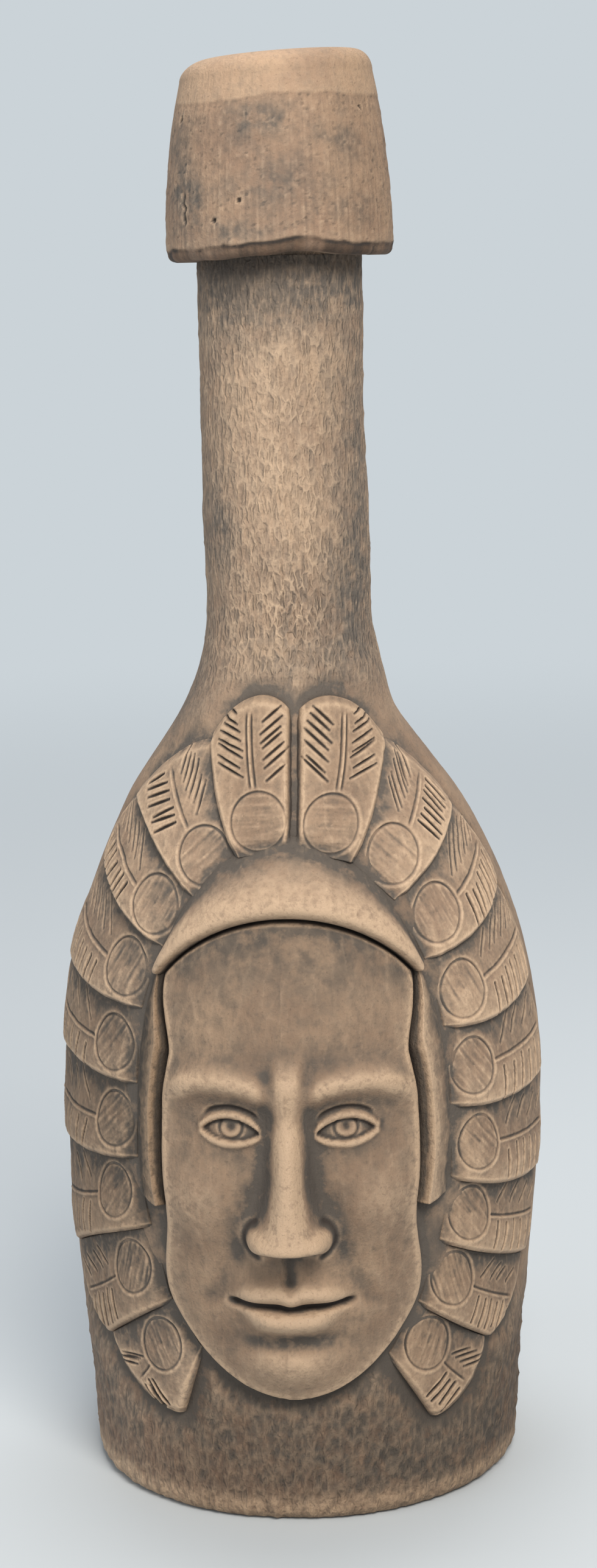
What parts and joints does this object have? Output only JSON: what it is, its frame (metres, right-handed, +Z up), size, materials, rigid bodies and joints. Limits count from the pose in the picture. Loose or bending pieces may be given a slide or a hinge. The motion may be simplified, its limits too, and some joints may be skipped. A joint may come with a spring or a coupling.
{
  "type": "stoppered bottle",
  "caption": "Tall clay bottle with a carved calm face in a feather headdress on its belly, a cork in its long neck and an upturned drinking cup as its cap.",
  "frame": {"origin": "centre of the flat foot, on the table", "axes": "+Z up the neck, the face looks along -Y, +X to the viewer's right"},
  "size_m": [0.105, 0.1185, 0.3003],
  "materials": {
    "clay": "matt fired clay with a dark wash in its hollows",
    "cup_clay": "matt fired clay, rubbed smoother at the top",
    "cork": "natural cork"
  },
  "bodies": {
    "bottle": {"bottle_vessel": "clay", "head_band": "clay", "side_strap_left": "clay", "side_strap_right": "clay", "face": "clay", "feather_left_1": "clay", "feather_left_2": "clay", "feather_left_3": "clay", "feather_left_4": "clay", "feather_left_5": "clay", "feather_left_6": "clay", "feather_left_7": "clay", "feather_left_8": "clay", "feather_left_9": "clay", "feather_right_1": "clay", "feather_right_2": "clay", "feather_right_3": "clay", "feather_right_4": "clay", "feather_right_5": "clay", "feather_right_6": "clay", "feather_right_7": "clay", "feather_right_8": "clay", "feather_right_9": "clay"},
    "cork": {"cork_stopper": "cork"},
    "cap": {"cup_cap": "cup_clay"}
  },
  "joints": [
    {"name": "cork_pull", "type": "slide", "parent": "bottle", "child": "cork", "axis": [0, 0, 1], "range_m": [0, 0.045]},
    {"name": "cap_lift", "type": "slide", "parent": "cork", "child": "cap", "axis": [0, 0, 1], "range_m": [0, 0.05]}
  ]
}
